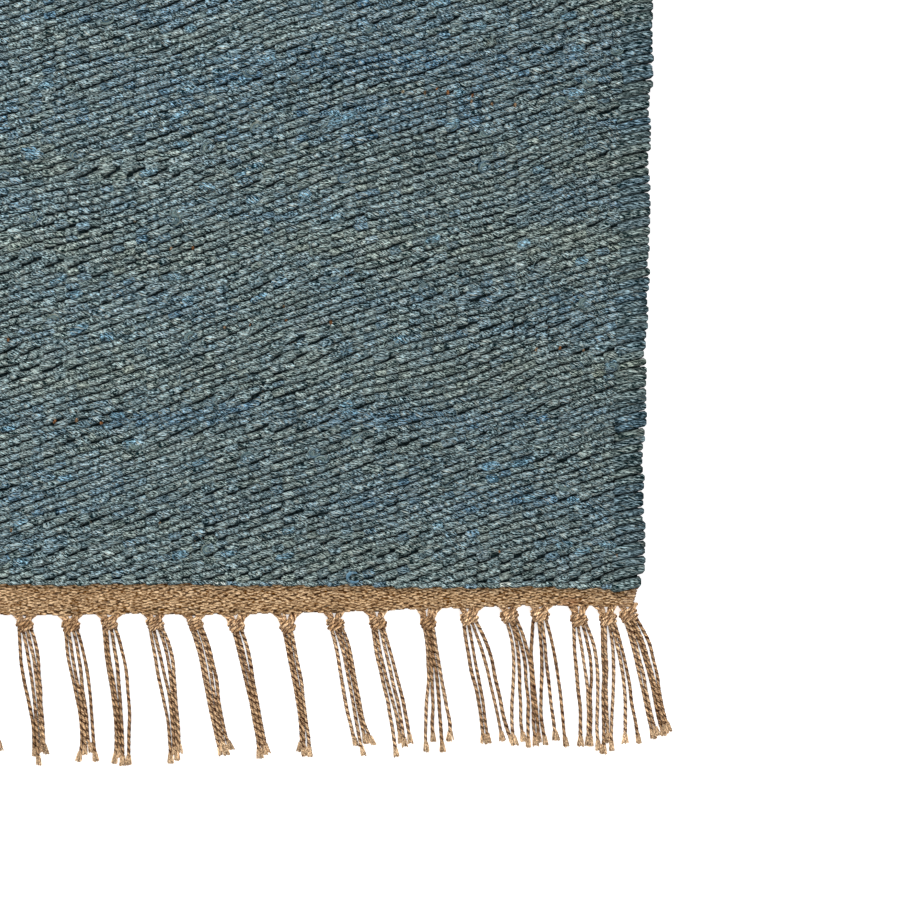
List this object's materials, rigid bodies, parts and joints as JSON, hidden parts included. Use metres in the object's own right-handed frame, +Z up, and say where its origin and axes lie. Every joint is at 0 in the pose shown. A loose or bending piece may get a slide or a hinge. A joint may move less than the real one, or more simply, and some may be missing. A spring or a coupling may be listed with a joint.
{
  "type": "jute rug",
  "caption": "Flat rectangular weft-faced jute rug in dusty blue-green, with a plain undyed heading and a knotted warp fringe at each end.",
  "frame": {"origin": "middle of the underside, on the floor", "axes": "+Z up out of the floor, +Y along the rug from one fringe to the other, +X across it"},
  "size_m": [0.6246, 1.0636, 0.007],
  "materials": {
    "dyed_jute": "matte",
    "heading_jute": "matte",
    "fringe_jute": "matte"
  },
  "bodies": {
    "root": {"field": "dyed_jute", "heading_front": "heading_jute", "heading_back": "heading_jute", "fringe_front": "fringe_jute", "fringe_back": "fringe_jute"}
  },
  "joints": []
}
